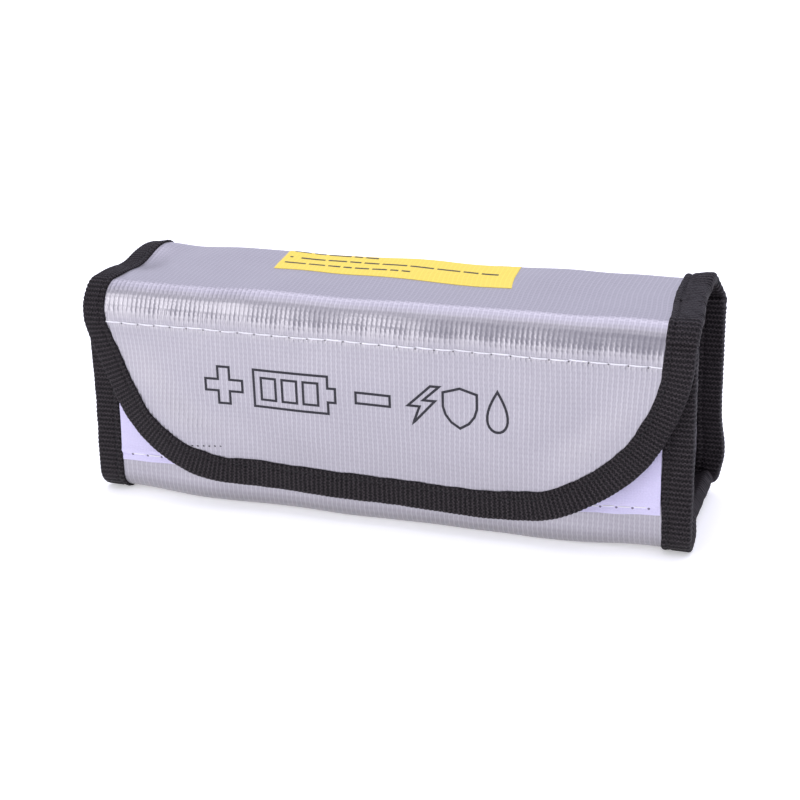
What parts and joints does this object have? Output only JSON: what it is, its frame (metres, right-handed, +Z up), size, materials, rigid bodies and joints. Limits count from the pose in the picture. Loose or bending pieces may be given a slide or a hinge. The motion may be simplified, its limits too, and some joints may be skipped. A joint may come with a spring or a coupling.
{
  "type": "battery storage bag",
  "caption": "Sewn rectangular fire-resistant storage bag with a fold-over lid, a round-cornered front flap closed by hook and loop, and folded tape on every edge.",
  "frame": {"origin": "middle of the footprint, at the height of the surface the bag stands on", "axes": "+X along the length, towards the bag's right end seen from the front; the flap is on the -Y side; +Z up"},
  "size_m": [0.201, 0.061, 0.075],
  "materials": {
    "silver_cloth": "aluminised coating with a soft metallic gloss over ribbed glass cloth",
    "felt": "matt pressed fibre",
    "lining_cloth": "plain woven glass cloth, matt",
    "binding_tape": "ribbed polyester webbing, satin",
    "hook_and_loop": "white nap",
    "label_film": "printed film taking the cloth's texture, satin",
    "white_thread": "twisted polyester"
  },
  "bodies": {
    "pouch_body": {"body_outer_cloth": "silver_cloth", "body_core_felt": "felt", "body_lining": "lining_cloth", "end_outer_cloth_left": "silver_cloth", "end_outer_cloth_right": "silver_cloth", "end_core_felt_left": "felt", "end_core_felt_right": "felt", "end_lining_left": "lining_cloth", "end_lining_right": "lining_cloth", "corner_binding_left": "binding_tape", "corner_binding_right": "binding_tape", "front_rim_binding": "binding_tape", "end_rim_binding_left": "binding_tape", "end_rim_binding_right": "binding_tape", "loop_strip": "hook_and_loop", "loop_strip_seam": "white_thread", "label_back": "label_film"},
    "lid": {"lid_outer_cloth": "silver_cloth", "lid_core_felt": "felt", "lid_lining": "lining_cloth", "lid_binding_left": "binding_tape", "lid_binding_right": "binding_tape", "label_lid": "label_film"},
    "front_flap": {"flap_outer_cloth": "silver_cloth", "flap_core_felt": "felt", "flap_lining": "lining_cloth", "flap_binding": "binding_tape", "hook_strip": "hook_and_loop", "hook_strip_seam": "white_thread"}
  },
  "joints": [
    {"name": "lid_hinge", "type": "hinge", "parent": "pouch_body", "child": "lid", "pos_m": [0, 0.0283, 0.07279], "axis": [-1, 0, 0], "range_deg": [0, 175]},
    {"name": "flap_hinge", "type": "hinge", "parent": "lid", "child": "front_flap", "pos_m": [0, -0.02787, 0.07236], "axis": [-1, 0, 0], "range_deg": [0, 90]}
  ]
}
